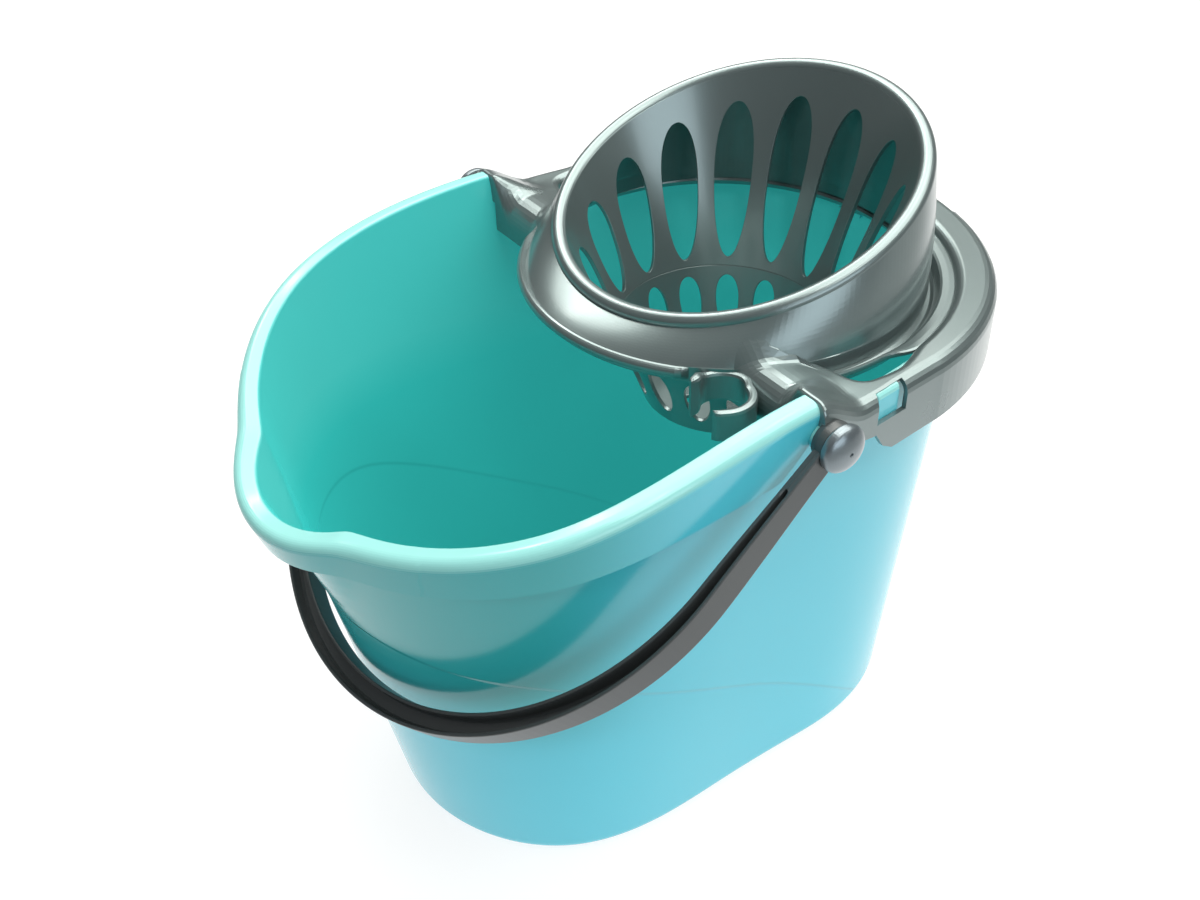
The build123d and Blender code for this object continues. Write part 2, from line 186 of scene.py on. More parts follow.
def makeWallCrease():  # z0 = high - fall (u + sqrt(u u + soft soft)) / 2 - bend max(y, 0)^2, u = y + behind
    w = wallLine
    tree, given, made = newGroup("wallCrease", [("Soft", "Float", w["wide"])], [("Step", "Float"), ("Line", "Float")])

    def calc(operation, *values):
        return mathNode(tree, operation, *values)

    place = splitNode(tree, objectCoord(tree))
    y, z = calc("MULTIPLY", place["Y"], 1000.0), calc("MULTIPLY", place["Z"], 1000.0)
    u = calc("ADD", y, w["behind"])
    root = calc("SQRT", calc("MULTIPLY_ADD", u, u, w["soft"] ** 2))
    fall = calc("MULTIPLY", calc("ADD", u, root), w["fall"] / 2)
    rear = calc("MAXIMUM", y, 0.0)
    bend = calc("MULTIPLY", calc("MULTIPLY", rear, rear), w["bend"])
    off = calc("SUBTRACT", z, calc("SUBTRACT", calc("SUBTRACT", w["high"], fall), bend))
    share = calc("DIVIDE", off, given["Soft"])
    tree.links.new(rangeNode(tree, share, (-1.0, 1.0)), made["Step"])
    tree.links.new(calc("EXPONENT", calc("MULTIPLY", calc("MULTIPLY", share, share), -1.0)), made["Line"])
    return tree


mouldedSkin = makeMouldedSkin()
insideMask = makePaintedLightMasks()
wallCrease = makeWallCrease()
finish = dict(coatRough=0.12, grainDepth=0.0002)  # the same on every plastic


def opaque(colour, share=1.0):
    return (*(share * c for c in colour), 1)


def paintTubShadeAndLight(tree, shader, skin, bump, look):  # painted shade inside and on the upper front, painted light on the rim's top, a painted shade line along the crease, a painted glow from the walls
    link = tree.links.new
    zone, crease = groupNode(tree, insideMask).outputs, groupNode(tree, wallCrease).outputs
    # painted shade on the upper front wall, darker and greener
    outsideWithShade = mixNode(tree, zone["PaintedShade"], opaque(look["colour"]), opaque(look["under"]))
    # painted shade: the inner walls and floor take a darker, greener copy of the colour
    wall = mixNode(tree, zone["Mask"], outsideWithShade, opaque(look["inside"]))
    # painted light: paler colour on the rim's up-facing top
    rim = mixNode(tree, zone["Top"], wall, opaque(look["top"]))
    # painted shade: a dark line along the wall's crease
    creaseShadeShare = mathNode(tree, "MULTIPLY", crease["Line"], look["crease"])
    link(mixNode(tree, creaseShadeShare, rim, opaque(look["creaseShadeTint"]), "MULTIPLY"), skin.inputs["Colour"])
    # painted glow, standing in for light that comes through the thin wall
    glow = mixNode(tree, zone["Mask"], opaque(look["inside"], look["paintedGlowOutside"]), opaque(look["inside"], look["glow"]))
    link(glow, shader.inputs["Emission Color"])
    shader.inputs["Emission Strength"].default_value = 1.0
    step = bumpNode(tree, crease["Step"], look["creaseBump"], look["creaseDepth"])
    link(step.outputs[0], bump.inputs["Normal"])


def plastic(name, look):
    mat = bpy.data.materials.new(name)
    mat.use_nodes = True
    tree = mat.node_tree
    link = tree.links.new
    shader = tree.nodes["Principled BSDF"]
    skin = groupNode(tree, mouldedSkin)
    skin.inputs["Colour"].default_value = opaque(look["colour"])
    skin.inputs["Vary"].default_value = look["vary"]
    skin.inputs["Rough"].default_value = look["rough"]
    skin.inputs["Cloud"].default_value = look["cloud"]
    skin.inputs["Grain Size"].default_value = look["grainSize"]
    bump = bumpNode(tree, skin.outputs["Height"], look["bump"], finish["grainDepth"])
    link(skin.outputs["Colour"], shader.inputs["Base Color"])
    link(skin.outputs["Rough"], shader.inputs["Roughness"])
    link(bump.outputs[0], shader.inputs["Normal"])
    if "inside" in look:
        paintTubShadeAndLight(tree, shader, skin, bump, look)
    shader.inputs["Specular IOR Level"].default_value = look["specular"]
    shader.inputs["Coat Weight"].default_value = look["coat"]
    shader.inputs["Coat Roughness"].default_value = finish["coatRough"]
    shader.inputs["Metallic"].default_value = look["metallic"]
    return mat


# tub: the inside colour is a shaded copy for the inner walls, the top colour painted light on the rim, the under colour
# painted shade on the upper front, the glows painted light through the wall, the crease tint a painted shade line
tubLook = dict(colour=(0.070, 0.47, 0.60), inside=(0.026, 0.33, 0.315), top=(0.26, 0.54, 0.52),
               under=(0.022, 0.29, 0.31), vary=0.06, rough=0.15, cloud=0.06, grainSize=500, bump=0.05,
               specular=0.4, coat=0.12, metallic=0.0, glow=0.50, paintedGlowOutside=0.15,
               crease=0.5, creaseShadeTint=(0.55, 0.68, 0.70), creaseBump=0.5, creaseDepth=0.0005)
wringerLook = dict(colour=(0.190, 0.236, 0.238), vary=0.10, rough=0.29, cloud=0.10, grainSize=1500, bump=0.06,
                   specular=0.5, coat=0.45, metallic=0.72)
bailLook = dict(colour=(0.052, 0.058, 0.060), vary=0.12, rough=0.36, cloud=0.12, grainSize=1100, bump=0.12,
                specular=0.5, coat=0.2, metallic=0.1)
pinLook = dict(colour=(0.19, 0.225, 0.245), vary=0.10, rough=0.28, cloud=0.10, grainSize=1300, bump=0.10,
               specular=0.5, coat=0.5, metallic=0.75)

tubPlastic = plastic("tubPlastic", tubLook)
wringerPlastic = plastic("wringerPlastic", wringerLook)
bailPlastic = plastic("bailPlastic", bailLook)
pinPlastic = plastic("pinPlastic", pinLook)
print("plastics made")

# shapes are in millimetres until the mesh is made
mm = 0.001
pivotZ = 280.0  # the bail's pins
meshFinish = dict(weld=0.03, bevelSteps=2, bevelAngle=50)


def gridFaces(n, m, loopN=False, loopM=False):  # quads of an n by m grid of points
    i, j = np.meshgrid(np.arange(n if loopN else n - 1), np.arange(m if loopM else m - 1), indexing="ij")
    i2, j2 = (i + 1) % n, (j + 1) % m
    return np.stack([i * m + j, i2 * m + j, i2 * m + j2, i * m + j2], -1).reshape(-1, 4)


def cappedFaces(n, m):  # a tube of n rings, closed at both ends
    return gridFaces(n, m, loopM=True).tolist() + [list(range(m))[::-1], [(n - 1) * m + i for i in range(m)]]


def addPiece(name, co, faces, mat, angle=40, thick=0.0, side=-1.0, edge=0.0):
    mesh = bpy.data.meshes.new(name)
    mesh.from_pydata((np.asarray(co).reshape(-1, 3) * mm).tolist(), [], [list(f) for f in faces])
    mesh.materials.append(mat)
    ob = bpy.data.objects.new(name, mesh)
    scene.collection.objects.link(ob)
    weld = ob.modifiers.new("weld", "WELD")
    weld.merge_threshold = meshFinish["weld"] * mm
    if thick:
        shellMod = ob.modifiers.new("thickness", "SOLIDIFY")
        shellMod.thickness = thick * mm
        shellMod.offset = side
    if edge:
        bevel = ob.modifiers.new("edges", "BEVEL")
        bevel.width = edge * mm
        bevel.segments = meshFinish["bevelSteps"]
        bevel.limit_method = "ANGLE"
        bevel.angle_limit = math.radians(meshFinish["bevelAngle"])
    with bpy.context.temp_override(object=ob, active_object=ob, selected_objects=[ob]):
        bpy.ops.object.shade_auto_smooth(angle=math.radians(angle))
    return ob


def turnedPiece(name, prof, side, mat, angle, steps, closed=False):  # profile (x, r) carried round the pins' axis
    a = np.linspace(0, 2 * np.pi, steps + 1)[:-1]
    x, r = np.array(prof).T[..., None]
    co = np.stack([side * x + 0 * a, r * np.cos(a), pivotZ + r * np.sin(a)], -1)
    faces = gridFaces(len(prof), steps, loopN=closed, loopM=True)
    return addPiece(name, co, faces if side < 0 else faces[:, ::-1], mat, angle)


def smooth(x, a, b):  # smoothstep from a to b
    t = np.clip((x - a) / (b - a), 0, 1)
    return t * t * (3 - 2 * t)


# wringer: drum and crest of the collar, crease between cone and bowl, bowl's floor
drumSpec = dict(y=59.5, r=106.0, z=282.0, foot=(-5.0, -4.0), swell=1.2, bead=3.4, beadFrom=(216, 222),
                beadTo=(309, 312))
crestSpec = dict(y=64.6, z=328.4, r=95.6, tilt=19.7, roll=4.3, end=152)
creaseSpec = dict(y=60.0, z=246.0, r=57.1)
bowlSpec = dict(y=63.0, z=201.4, r=43.6)
wallT = 2.4


def ringAt(spec, a):  # point on a level circle
    return np.stack([spec["r"] * np.cos(a), spec["y"] + spec["r"] * np.sin(a), np.full_like(a, spec["z"])], -1)


def crestAt(a, t):  # point on the rolled crest, t round the roll, on circles in the tilted plane
    tilt, roll = math.radians(crestSpec["tilt"]), crestSpec["roll"]
    c, s = math.cos(tilt), math.sin(tilt)
    r, up = crestSpec["r"] + roll * math.cos(t), -roll + roll * math.sin(t)
    x, v = r * np.cos(a), r * np.sin(a)
    return np.stack([x, crestSpec["y"] + v * c - up * s, crestSpec["z"] + v * s + up * c], -1)


# collar: foot, bead, leaning wall, rolled crest and lip
def makeCollar():
    d = drumSpec
    a = np.linspace(0, 2 * np.pi, 217)[:-1]
    deg = np.degrees(a)
    bead = smooth(deg, *d["beadFrom"]) * (1 - smooth(deg, *d["beadTo"]))  # rolled foot only across the front
    out, up = np.stack([np.cos(a), np.sin(a), np.zeros_like(a)], -1), np.array([0, 0, 1.0])
    low, high = ringAt(d, a), crestAt(a, 0.0)
    rows = [low + up * w for w in d["foot"]]
    for t in np.radians(np.linspace(-80, 80, 11)):  # half round: b cos t out, b sin t up
        rows.append(low + out * (d["bead"] * math.cos(t) * bead)[:, None] + up * d["bead"] * math.sin(t))
    for k in np.linspace(0.10, 1, 14):  # wall, with a slight swell
        rows.append(low * (1 - k) + high * k + out * d["swell"] * math.sin(math.pi * k))
    rows += [crestAt(a, t) for t in np.radians(np.linspace(0, crestSpec["end"], 15))[1:]]
    faces = gridFaces(len(rows), len(a), loopM=True)[:, ::-1]
    addPiece("collarSkin", np.stack(rows), faces, wringerPlastic, 50, wallT, -1)


def coneAt(a, v):  # v 0 at the lip, 1 at the crease
    return crestAt(a, math.radians(crestSpec["end"])) * (1 - v)[..., None] + ringAt(creaseSpec, a) * v[..., None]


def bowlAt(a, v):  # v 0 at the crease, 1 at the floor
    return ringAt(creaseSpec, a) * (1 - v)[..., None] + ringAt(bowlSpec, a) * v[..., None]


def floorAt(a, v):  # v 0 at the wall, 1 at the middle
    p = ringAt(bowlSpec, a)
    p[..., 0] *= 1 - v
    p[..., 1] = bowlSpec["y"] + (p[..., 1] - bowlSpec["y"]) * (1 - v)
    return p


# bands with holes: head in mm below the top, over the height of the wall there; foot and width are shares
basket = dict(
    coneSkin=dict(at=coneAt, count=15, start=90, head=15.0, rise=82.4, more=32.4, foot=0.955, wide=0.69, lean=-0.04,
                  blunt=0.84, end=1.0, rings=7, edge=0.5),
    bowlSkin=dict(at=bowlAt, count=15, start=90, head=5.5, rise=44.6, more=0.0, foot=0.80, wide=0.60, lean=-0.04,
                  blunt=0.9, end=1.0, rings=7, edge=0.5),
    bowlFloor=dict(at=floorAt, count=8, start=0, head=16.0, rise=43.6, more=0.0, foot=0.54, wide=0.40, lean=0.0,
                   blunt=1.0, end=0.9, rings=5, edge=0.3),
)


def makeBand(name, band):  # per sector a polar patch: edge of the almond hole h(b) out to edge of the sector q(b)
    b = np.linspace(0, 2 * np.pi, 73)[:-1]
    c, s = np.cos(b), np.sin(b)
    stretch = 1 / np.maximum(np.abs(c), np.abs(s))  # square of the sector, met along the same rays
    qx, qy = np.clip(c * stretch, -1, 1), np.clip(s * stretch, -1, 1)
    qv = band["end"] * (qy + 1) / 2
    rings = band["rings"]
    k = np.linspace(0, 1, rings)[:, None] ** 1.3  # closer together at the hole
    pieces, faces = [], []
    for i in range(band["count"]):
        turn = math.radians(band["start"]) + 2 * np.pi * i / band["count"]
        head = band["head"] / (band["rise"] + band["more"] * math.sin(turn))
        vMid, vHalf = (head + band["foot"]) / 2, (band["foot"] - head) / 2
        hx = band["wide"] * (1 + band["lean"] * s) * c
        hy = vMid + vHalf * np.sign(s) * np.abs(s) ** band["blunt"]
        x, v = hx * (1 - k) + qx * k, hy * (1 - k) + qv * k
        pieces.append(band["at"](turn + math.pi / band["count"] * x, v).reshape(-1, 3))
        faces.append(gridFaces(rings, len(b), loopM=True) + i * rings * len(b))
    addPiece(name, np.concatenate(pieces), np.concatenate(faces), wringerPlastic, 50, wallT, -1, band["edge"])


# ring and saddle arms: one sheet over the plan, height H(x, y), with walls that hang from it
ringSpec = dict(sideX=145.8, r=139.0, y=62.0, frontY=-3.7, z=285.0, slant=5.53, inY=57.0, drumIn=96.0,
                edgeR=126.8, edgeLess=5.8, edgeTurn=(0, 13), windowY=(34.0, 54.0), windowTurn=(73.85, 82.15),
                windowSlack=0.05)
roundSpec = dict(inner=3.6, outer=7.0, free=5.0, front=13.0, frontLip=2.2, frontX=(117, 129))
armSpec = dict(saddle=3.5, saddleX=(116, 132), saddleY=9, saddleWide=17.0, shoulder=14.2, shoulderX=(112, 129),
               shoulderY=(-6, 27), cap=301.5, capFall=16.5, capY=(8, 21), endY=(24, 27.2), endX=122, blend=15.5)
skirtSpec = dict(archZ=280.0, archR=9.2, archEnd=9.1, low=268.5, slope=4, slopeY=12, slopeRun=20,
                 step=13.5, stepY=34, stepRun=9, sill=270.0, innerLow=277.0)
frontWall = dict(heights=(266.0, 272.0), top=283.0, endX=127)
# rows of the sheet: over the arm, round the open crescent (inner x, y and outer y), then round the rear in degrees
armRows = np.array([0, 0.3, 0.9, 1.9, 3.2, 4.8, 6.8, 9.2, 12, 15.5, 19, 22.5, 26])
bendRows = np.array([[98.5, 27.2, 23.4], [100, 29.6, 24.4], [103, 31.6, 25.4], [107, 33.0, 26.4], [112, 34.2, 27.4],
                     [116.5, 35.2, 28.6], [120, 36.2, 30.0], [122.6, 37.6, 32.0], [124.4, 39.4, 34.0],
                     [125.6, 41.8, 37.0], [126.2, 44.6, 40.0]])
rearRows = np.concatenate([[-4.0, -2.6], np.arange(1.0, 89.5, 2.2)])
hair = 0.02  # keeps rows apart that would fall together


def sideX(y):  # the ring's slanting side
    return ringSpec["sideX"] - math.tan(math.radians(ringSpec["slant"])) * (y - ringSpec["frontY"])


def outlineLine(n=400):  # right half of the ring's outline, front to rear
    yTan = ringSpec["y"] + ringSpec["r"] * math.sin(math.radians(ringSpec["slant"]))
    y = np.linspace(ringSpec["frontY"], yTan, n // 2)
    t = np.radians(np.linspace(ringSpec["slant"], 90, n // 2))[1:]
    x2, y2 = ringSpec["r"] * np.cos(t), ringSpec["y"] + ringSpec["r"] * np.sin(t)
    return np.concatenate([sideX(y), x2]), np.concatenate([y, y2])


def farFrom(px, py, line):  # plan distance to a line of points
    fine, at = np.arange(0, len(line), 0.1), np.arange(len(line))
    lx, ly = np.interp(fine, at, line[:, 0]), np.interp(fine, at, line[:, 1])
    return np.sqrt(((px[..., None] - lx) ** 2 + (py[..., None] - ly) ** 2).min(-1))


def quarter(d, r):  # fall of a quarter round of radius r at distance d from its edge
    e = np.clip(r - d, 0, r)
    return r - np.sqrt(np.maximum(r * r - e * e, 0))


def join(a, b, k):  # larger of the two, rounded over a band k
    h = np.maximum(k - np.abs(a - b), 0) / k
    return np.maximum(a, b) + h * h * k / 4


def armHeight(x, y):  # saddle beside the drum, shoulder over the pivot
    s = armSpec
    saddle = s["saddle"] * (1 - smooth(x, *s["saddleX"])) * np.exp(-((y - s["saddleY"]) / s["saddleWide"]) ** 2)
    shoulder = s["shoulder"] * smooth(x, *s["shoulderX"]) * (1 - smooth(y, *s["shoulderY"]))
    return ringSpec["z"] + saddle + shoulder


def drumTop(x, y):  # height of the collar's leaning wall over a plan point, a hair inside its skin
    d = drumSpec
    turn, far = np.arctan2(y - d["y"], x), np.hypot(x, y - d["y"]) + 0.5
    a, k = turn, np.zeros_like(x)
    for _ in range(14):  # wall point P(a, k) brought over the plan point
        low, high = ringAt(d, a), crestAt(a, 0.0)
        p = low + (high - low) * k[..., None]
        swell = d["swell"] * np.sin(np.pi * np.clip(k, 0, 1))
        px, py = p[..., 0] + swell * np.cos(a), p[..., 1] + swell * np.sin(a) - d["y"]
        a = a + turn - np.arctan2(py, px)
        step = np.hypot(high[..., 0], high[..., 1] - d["y"]) - d["r"]
        k = np.clip(k + 0.7 * (far - np.hypot(px, py)) / np.minimum(step, -3.0), -1.0, 0.9)
    return d["z"] + (high[..., 2] - d["z"]) * k


def skirtLow(y):  # lower edge of the skirt: arch over the pivot, shallow front, step, deep rear
    s = skirtSpec
    arch = s["archZ"] + np.sqrt(np.maximum(s["archR"] ** 2 - y * y, 0))
    slope = s["slope"] * np.clip((y - s["slopeY"]) / s["slopeRun"], 0, 1)
    step = s["step"] * np.clip((y - s["stepY"]) / s["stepRun"], 0, 1)
    return np.where(y < s["archEnd"], arch, s["low"] - slope - step)


def sheetEnds():  # plan points of each row's inner and outer end
    r = ringSpec
    rowY = r["frontY"] + armRows
    inX = np.sqrt(r["drumIn"] ** 2 - (rowY - drumSpec["y"]) ** 2)
    windowEnds = [math.atan2(r["windowY"][1] - r["inY"], sideX(r["windowY"][1]))]
    for t in np.radians(r["windowTurn"]):
        windowEnds.append(math.atan2(r["y"] + r["r"] * math.sin(t) - r["inY"], r["r"] * math.cos(t)))
    turns = np.sort(np.concatenate([np.radians(rearRows), windowEnds, [math.pi / 2]]))
    edgeR = r["edgeR"] - r["edgeLess"] * smooth(np.degrees(turns), *r["edgeTurn"])
    ox, oy = outlineLine()
    oTurn = np.arctan2(oy - r["inY"], ox)
    rear = np.stack([edgeR * np.cos(turns), r["inY"] + edgeR * np.sin(turns)], -1)
    rearOut = np.stack([np.interp(turns, oTurn, ox), np.interp(turns, oTurn, oy)], -1)
    sideY = np.concatenate([rowY, bendRows[:, 2]])
    inner = np.concatenate([np.stack([inX, rowY], -1), bendRows[:, :2], rear])
    return inner, np.concatenate([np.stack([sideX(sideY), sideY], -1), rearOut])


def makeRing():
    arm, rnd = armSpec, roundSpec
    inner, outer = sheetEnds()
    span = np.linalg.norm(outer - inner, axis=1)[:, None]
    rIn, rOut = np.minimum(rnd["inner"], 0.33 * span), np.minimum(rnd["outer"], 0.62 * span)
    a = np.array([0, 0.06, 0.22, 0.45, 0.72, 1.0])
    d = np.concatenate([rIn * a, rIn + (span - rOut - rIn) * np.linspace(0, 1, 32)[1:-1], span - rOut * a[::-1]], 1)
    k = d / span
    x = inner[:, :1] * (1 - k) + outer[:, :1] * k
    y = inner[:, 1:] * (1 - k) + outer[:, 1:] * k
    frontR = rnd["front"] - (rnd["front"] - rnd["frontLip"]) * smooth(x, *rnd["frontX"])
    free = farFrom(x, y, inner[len(armRows):])  # from the inner edge that stands free
    z = armHeight(x, y) - quarter(free, rnd["free"]) - quarter(span - d, np.broadcast_to(rOut, x.shape))
    z = z - quarter(y - ringSpec["frontY"], frontR)
    rowY = np.broadcast_to(inner[:, 1:], x.shape)
    cap = arm["cap"] - arm["capFall"] * smooth(rowY, *arm["capY"])
    onArm = (1 - smooth(rowY, *arm["endY"])) * (x < arm["endX"])
    z = np.where(onArm > 0, join(z, z + (np.minimum(drumTop(x, y), cap) - z) * onArm, arm["blend"]), z)
    # walls that hang from the sheet: inner, then outer skirt
    low = skirtLow(outer[:, 1])
    sill = np.maximum(np.minimum(skirtSpec["sill"], z[:, -1] - 0.5), low + hair)
    wallIn = np.stack([x[:, 0], y[:, 0], np.minimum(skirtSpec["innerLow"], z[:, 0] - 0.5)], -1)[:, None]
    skirt = np.stack([np.stack([x[:, -1], y[:, -1], h], -1)
                      for h in ((z[:, -1] + sill) / 2, sill, np.minimum(low, sill - hair))], 1)
    half = np.concatenate([wallIn, np.stack([x, y, z], -1), skirt], 1)
    wall = np.repeat(half[:1], 3, 0)  # front wall under the first row
    wall[:2, :, 2] = np.array(frontWall["heights"])[:, None]
    wall[2, :, 2] = np.minimum(wall[2, :, 2] - 0.5, frontWall["top"])
    half = np.concatenate([wall, half])
    n, m = half.shape[:2]
    faces = gridFaces(n, m).reshape(n - 1, m - 1, 4)
    keep = np.ones((n - 1, m - 1), bool)
    midX = (half[:-1, :-1, 0] + half[1:, :-1, 0] + half[1:, 1:, 0] + half[:-1, 1:, 0]) / 4
    keep[:2] &= midX[:2] < frontWall["endX"]
    keep[:3, -3:] = False
    keep[:3 + len(armRows), 0] = False  # the arm grows out of the collar there
    keep &= np.abs(np.diff(half[:-1, :, 2], axis=1)) + np.hypot(*np.diff(half[:-1, :, :2], axis=1).T).T > 0.03
    # snap windows: over the shoulder of the ring and down to the sill
    ends = np.stack([outer[:, 1], np.degrees(np.arctan2(outer[:, 1] - ringSpec["y"], outer[:, 0]))])
    ends = np.concatenate([np.full((2, 3), -99.0), ends], 1)
    midY, midTurn = (ends[:, :-1] + ends[:, 1:]) / 2
    (y0, y1), (t0, t1), slack = ringSpec["windowY"], ringSpec["windowTurn"], ringSpec["windowSlack"]
    inWindow = ((midY > y0) & (midY < y1)) | ((midTurn > t0 + slack) & (midTurn < t1 - slack))
    keep[inWindow, m - 8:m - 2] = False
    f = faces[keep]
    co = np.concatenate([half.reshape(-1, 3), (half * np.array([-1, 1, 1])).reshape(-1, 3)])  # left half mirrored
    addPiece("ringSkin", co, np.concatenate([f, f[:, ::-1] + n * m]), wringerPlastic, 55, wallT, 1, 0.4)


# ledge behind the arms: dark gutter beside the drum, then a flat lip with rounded edges, as (r, z)
ledgeSpec = dict(y=57.8, ends=(-16, 196), lipR=112, narrow=0.24, wideTurn=(3, 13))
ledgeSection = np.array([
    [104.5, 278.0], [106.5, 275.6], [108.6, 274.4], [110.4, 275.6], [112.2, 278.8], [113.0, 280.2], [114.2, 280.8],
    [117.5, 281.0], [120.0, 281.0], [121.2, 280.4], [121.6, 279.4], [121.0, 278.4], [116.0, 278.2], [113.6, 277.0],
    [110.6, 273.2], [108.6, 272.2], [106.0, 273.4], [103.8, 276.6]])


def makeLedge():  # section carried round the drum, its lip narrow beside the arms
    a = np.radians(np.linspace(*ledgeSpec["ends"], 160))
    fromRear = np.abs(a - np.pi / 2)
    behind = np.degrees(np.abs(fromRear - np.pi / 2)) * np.sign(np.pi / 2 - fromRear)  # degrees behind the arms
    narrow = ledgeSpec["narrow"] + (1 - ledgeSpec["narrow"]) * smooth(behind, *ledgeSpec["wideTurn"])
    r, z = ledgeSection.T[..., None]
    r = np.where(r > ledgeSpec["lipR"], ledgeSpec["lipR"] + (r - ledgeSpec["lipR"]) * narrow, r)
    co = np.stack([r * np.cos(a), ledgeSpec["y"] + r * np.sin(a), z + 0 * a], -1)
    addPiece("ledgeSkin", co, gridFaces(len(ledgeSection), len(a), loopN=True), wringerPlastic, 50)


# spring clip: a rounded bar swept round the pole, its ends flared a little, one of them raised to a finger
clipSpec = dict(x=94.5, y=-18.8, r=13.9, t=4.4, low=267.5, high=284.0, round=1.8, ends=(222, -58), flare=0.9,
                flareTurn=(110, 142), back=140, sink=4.2, sinkNear=(0.45, 0.95), finger=4.5, fingerTurn=(165, 200))


def makeClip():
    s = clipSpec
    turn = np.linspace(*s["ends"], 57)
    a = np.radians(turn)
    flare = s["flare"] * smooth(np.abs(turn - sum(s["ends"]) / 2), *s["flareTurn"])
    back = smooth(np.cos(a - math.radians(s["back"])), *s["sinkNear"])  # there the wall runs into the collar
    r = s["r"] + flare + s["sink"] * back
    lift = s["finger"] * smooth(turn, *s["fingerTurn"])
    t, low, high, c = s["t"] / 2, s["low"], s["high"], s["round"]
    across, up = np.array([
        (-t, low + c), (-t, high - c), (-t + 0.3 * c, high - 0.3 * c), (-t + c, high), (t - c, high),
        (t - 0.3 * c, high - 0.3 * c), (t, high - c), (t, low + c), (t - 0.3 * c, low + 0.3 * c), (t - c, low),
        (-t + c, low), (-t + 0.3 * c, low + 0.3 * c)]).T
    taper = np.ones(len(a))
    taper[:3], taper[-3:] = (0.0, 0.55, 0.85), (0.85, 0.55, 0.0)
    out = across * taper[:, None]
    x = (s["x"] + r * np.cos(a))[:, None] + np.cos(a)[:, None] * out
    y = (s["y"] + r * np.sin(a))[:, None] + np.sin(a)[:, None] * out
    z = up + lift[:, None] * (up > (low + high) / 2)
    addPiece("clipSkin", np.stack([x, y, z], -1), gridFaces(*x.shape, loopM=True), wringerPlastic, 50)


# tub: one profile (base, wall, rolled rim, inner wall, floor) carried round the outline
tubSpec = dict(wall=2.2, floor=4.4, edge=9.0, inEdge=7.0, lipRound=1.6, tall=300.0, seam=-4.0, rearZ=282.4,
               centreY=8.0, rimZ=298.0, rimDrop=50.0, rimReach=200.0, rimOut=9.8, rimIn=7.6, rimRound=6.5,
               skirt=19.5, skirtMore=21.0, legZ=285.8, legSlope=1.1, legFrom=-60, legSoft=4)
spoutSpec = dict(middle=-60.0, low=100.0, r=28.6, grow=37.0, y=-129.3, lean=33.7, soft=2.2, softMore=0.35, near=40)
bossSpec = dict(inX=129.6, outX=146.2, r=7.6, bore=5.0, edge=0.6)
tongueSpec = dict(sideY=44.0, rearR=138.0, half=7.5, edge=0.4)
tongueSection = np.array([[-2.9, 262], [-2.9, 281.2], [-3.3, 282.8], [-4.2, 283.9], [-5.4, 284.3], [-6.4, 284.3],
                          [-6.6, 283.8], [-6.6, 264.4], [-24, 264.4], [-24, 262]])  # out from the ring, height


def arcPoints(r, y, turns, way):  # circle points behind y (way 1) or before it (way -1)
    return [(r * math.sin(math.radians(t)), y + way * r * math.cos(math.radians(t))) for t in turns]


def loopSpline(half, n=2400):  # periodic cubic through the points and their mirror, by chord length
    p = np.array(half + [(-x, y) for x, y in half[-2:0:-1]])
    k = len(p)
    h = np.linalg.norm(np.roll(p, -1, 0) - p, axis=1)
    before = np.roll(h, 1)
    system = np.zeros((k, k))
    i = np.arange(k)
    system[i, i - 1], system[i, i], system[i, (i + 1) % k] = before, 2 * (before + h), h
    slope = (np.roll(p, -1, 0) - p) / h[:, None]
    m = np.linalg.solve(system, 6 * (slope - np.roll(slope, 1, 0)))
    at = np.concatenate([[0], np.cumsum(h)])
    q = np.linspace(0, at[-1], n, endpoint=False)
    i = np.clip(np.searchsorted(at, q, side="right") - 1, 0, k - 1)
    d, hi, nx = (q - at[i])[:, None], h[i][:, None], (i + 1) % k
    return (m[i] * (hi - d) ** 3 / (6 * hi) + m[nx] * d ** 3 / (6 * hi) + (p[i] / hi - m[i] * hi / 6) * (hi - d)
            + (p[nx] / hi - m[nx] * hi / 6) * d)


baseLoop = loopSpline(arcPoints(97.0, 70, (0, 30, 60, 90), 1) + [(97.0, 40), (97.0, -8), (97.0, -55)]
                      + arcPoints(97.0, -55, (60, 34, 16, 0), -1))
topLoop = loopSpline(arcPoints(129.0, 55, (0, 30, 60), 1) + [(129.6, 55), (132, 28), (134.2, -20), (136.4, -84),
                                                             (126.5, -134), (94, -174), (48, -198), (0, -207)])


def ruled(u, z):  # straight wall between the two outlines
    n = len(baseLoop)
    f = (u % 1.0) * n
    i = np.floor(f).astype(int) % n
    g = (f - np.floor(f))[..., None]
    low = baseLoop[i] * (1 - g) + baseLoop[(i + 1) % n] * g
    high = topLoop[i] * (1 - g) + topLoop[(i + 1) % n] * g
    return low + (high - low) * (z / tubSpec["tall"])[..., None]


